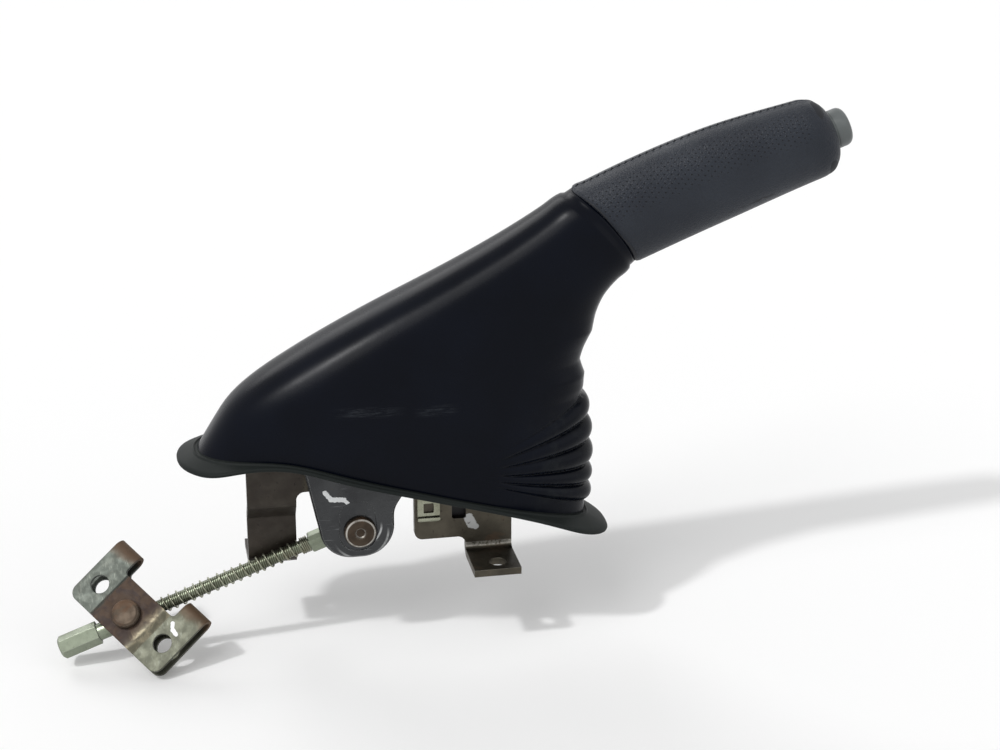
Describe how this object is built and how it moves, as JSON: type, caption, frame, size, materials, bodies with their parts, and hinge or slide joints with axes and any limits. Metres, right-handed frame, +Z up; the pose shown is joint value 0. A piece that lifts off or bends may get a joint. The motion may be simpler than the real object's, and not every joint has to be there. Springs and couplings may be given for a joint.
{
  "type": "parking brake lever",
  "caption": "Hand brake lever with a leather grip, release button, ratchet, rubber boot, pull rod and cable equaliser on a two-bolt floor bracket.",
  "frame": {"origin": "middle of the two floor bolt holes, on the underside of the bracket's feet", "axes": "+X forward along the lever towards the grip, +Z up, Y = 0 in the lever's middle plane"},
  "size_m": [0.3874, 0.082, 0.2638],
  "materials": {
    "bracket_steel": "bare pressed steel, dull, stained and lightly rusted",
    "lever_steel": "satin pressed steel with rolled edges",
    "pin_steel": "turned steel, polished by wear",
    "dark_steel": "phosphated spring steel",
    "zinc_steel": "greenish zinc plated steel",
    "spring_steel": "zinc plated spring wire",
    "equaliser_steel": "pressed steel with rust in the folds",
    "boot_rubber": "smooth dark rubber with a soft gloss, lightly scuffed",
    "grip_leather": "dark grained leather with fine perforations and a stitched seam",
    "core_plastic": "moulded plastic",
    "button_plastic": "grey moulded plastic with a metallic finish",
    "switch_plastic": "black moulded plastic",
    "terminal_brass": "tinned brass"
  },
  "bodies": {
    "base": {"base_bracket": "bracket_steel", "ratchet_sector": "dark_steel", "sector_rivets": "pin_steel", "pivot_bush": "pin_steel", "pivot_pin": "pin_steel", "pivot_circlip": "dark_steel", "switch_body": "switch_plastic", "switch_clip": "spring_steel", "switch_terminal": "terminal_brass", "boot": "boot_rubber"},
    "lever": {"lever_channel": "lever_steel", "switch_striker": "lever_steel", "clevis_pin": "pin_steel", "clevis_spacers": "zinc_steel", "pawl_pin": "pin_steel", "grip_core": "core_plastic", "grip_leather": "grip_leather", "button_spring": "spring_steel"},
    "button": {"push_button": "button_plastic", "release_rod": "zinc_steel"},
    "pawl": {"pawl": "dark_steel"},
    "rod": {"pull_rod": "zinc_steel", "rod_spring": "spring_steel"},
    "carriage": {"adjuster_washer": "zinc_steel"},
    "trunnion": {"trunnion_pin": "pin_steel", "trunnion_circlip": "dark_steel"},
    "equaliser": {"equaliser_plate": "equaliser_steel"},
    "nut": {"adjuster_nut": "zinc_steel"},
    "plunger": {"switch_plunger": "switch_plastic"}
  },
  "joints": [
    {"name": "lever_pivot", "type": "hinge", "parent": "base", "child": "lever", "pos_m": [-0.012, 0, 0.0595], "axis": [0, -1, 0], "range_deg": [0, 28], "deforming": ["boot"]},
    {"name": "button_slide", "type": "slide", "parent": "lever", "child": "button", "axis": [0.9397, 0, 0.342], "range_m": [-0.006, 0], "stiffness_N_per_m": 900, "springref_m": 0.002, "deforming": ["button_spring"]},
    {"name": "pawl_pivot", "type": "hinge", "parent": "lever", "child": "pawl", "pos_m": [0.03242, 0, 0.09422], "axis": [0, -1, 0], "range_deg": [0, 24]},
    {"name": "rod_pivot", "type": "hinge", "parent": "lever", "child": "rod", "pos_m": [-0.013, 0, 0.0217], "axis": [0, -1, 0], "range_deg": [-24, 20]},
    {"name": "adjuster_travel", "type": "slide", "parent": "rod", "child": "carriage", "axis": [-0.9373, 0, -0.3486], "range_m": [-0.012, 0.002], "deforming": ["rod_spring"]},
    {"name": "nut_spin", "type": "hinge", "parent": "carriage", "child": "nut", "pos_m": [-0.12407, 0, -0.01961], "axis": [-0.9373, 0, -0.3486], "range_deg": [-721, 4321]},
    {"name": "trunnion_roll", "type": "hinge", "parent": "carriage", "child": "trunnion", "pos_m": [-0.12407, 0, -0.01961], "axis": [-0.9373, 0, -0.3486], "range_deg": [-45, 45]},
    {"name": "equaliser_swivel", "type": "hinge", "parent": "trunnion", "child": "equaliser", "pos_m": [-0.12407, 0, -0.01961], "axis": [-0.2465, -0.7071, 0.6628], "range_deg": [-50, 0]},
    {"name": "switch_travel", "type": "slide", "parent": "base", "child": "plunger", "axis": [0, 0, 1], "range_m": [-0.002, 0], "stiffness_N_per_m": 400, "springref_m": 0.003}
  ],
  "couplings": [
    {"joint": "pawl_pivot", "follows": "button_slide", "rad_per_m": -68.448},
    {"joint": "nut_spin", "follows": "adjuster_travel", "rad_per_m": -6283.2}
  ]
}
